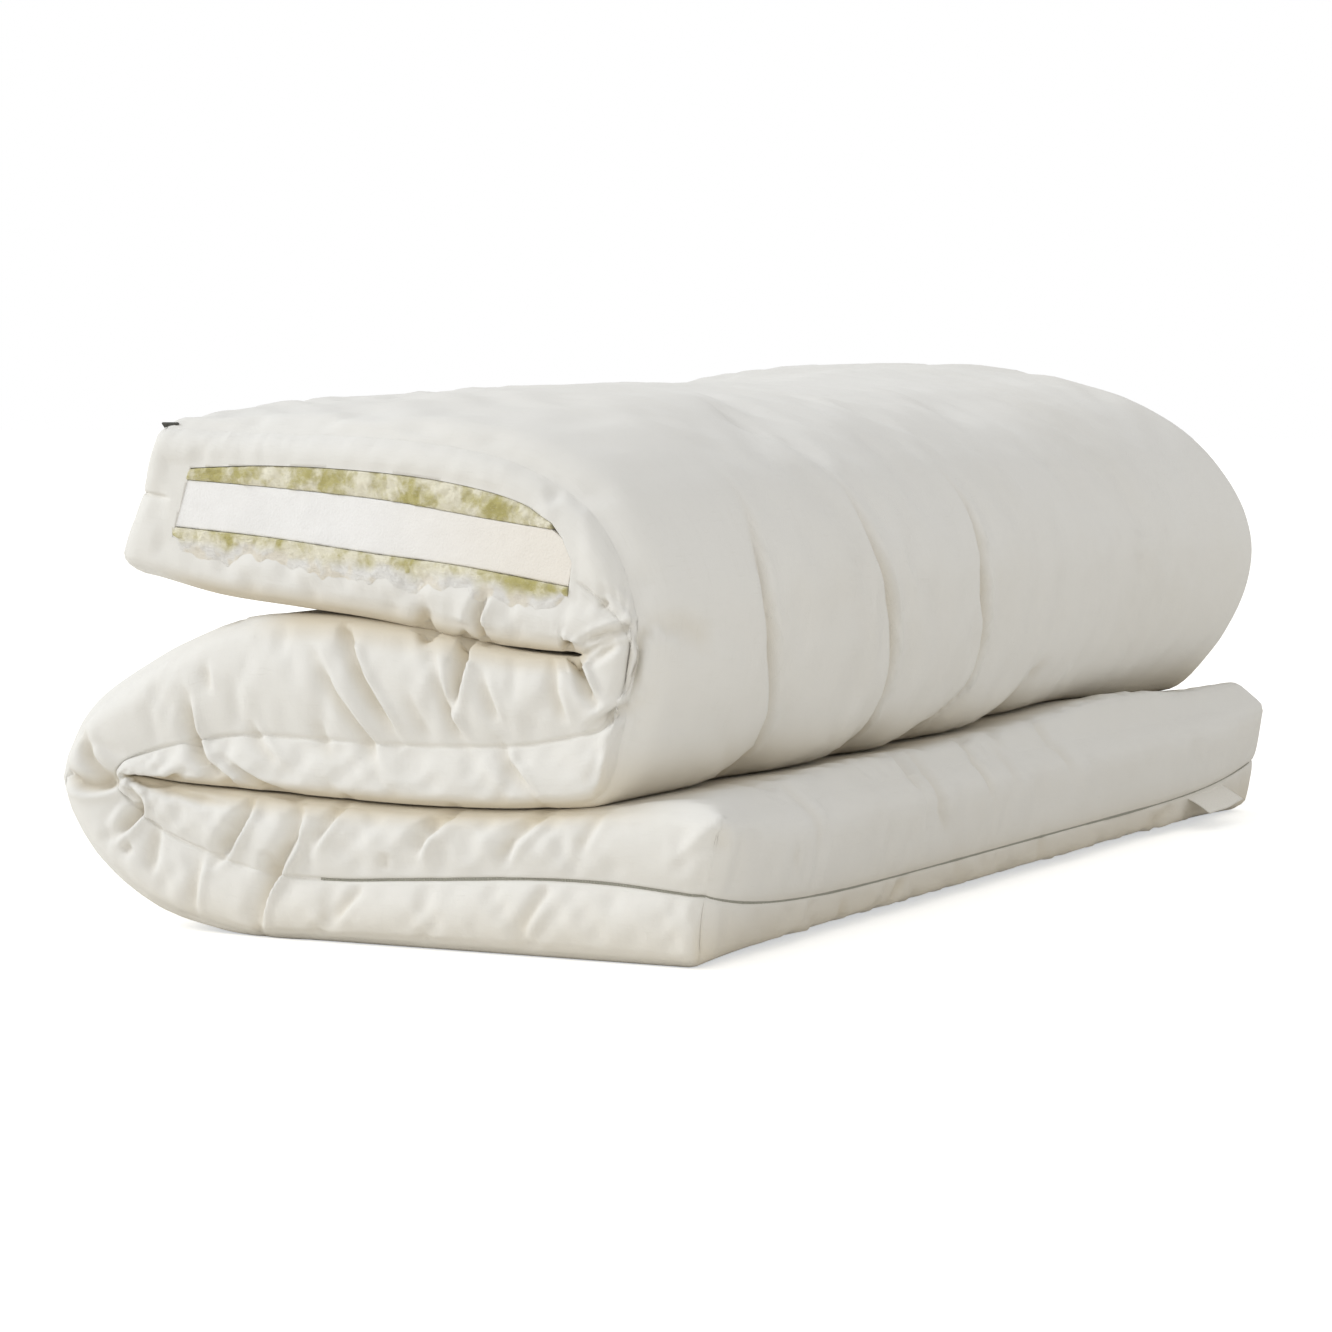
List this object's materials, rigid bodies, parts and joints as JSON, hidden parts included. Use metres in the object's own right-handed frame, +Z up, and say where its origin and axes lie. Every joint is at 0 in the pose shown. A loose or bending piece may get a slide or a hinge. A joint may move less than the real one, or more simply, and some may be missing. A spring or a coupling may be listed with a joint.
{
  "type": "folded futon mattress",
  "caption": "Queen-size cotton futon mattress folded in three, with a cut-away window in its side that shows wool and foam layers.",
  "frame": {"origin": "on the floor below the middle of the folded mattress's bounding box", "axes": "+Z up, +Y across the mattress's width, away from the side with the window, +X along the folds towards the lowest layer's free end"},
  "size_m": [0.758, 1.536, 0.5518],
  "materials": {
    "cotton": "undyed cotton twill, soft and matt",
    "wool": "unspun wool batting, fluffy",
    "foam": "smooth white foam",
    "zip": "woven zip tape with a fine coil",
    "tape": "woven cotton tape",
    "dark_tape": "dark woven tape"
  },
  "bodies": {
    "root": {"futon_case": "cotton", "upper_wool": "wool", "foam_core": "foam", "lower_wool": "wool", "closure_zip": "zip", "side_label": "tape", "corner_tab": "dark_tape"}
  },
  "joints": []
}
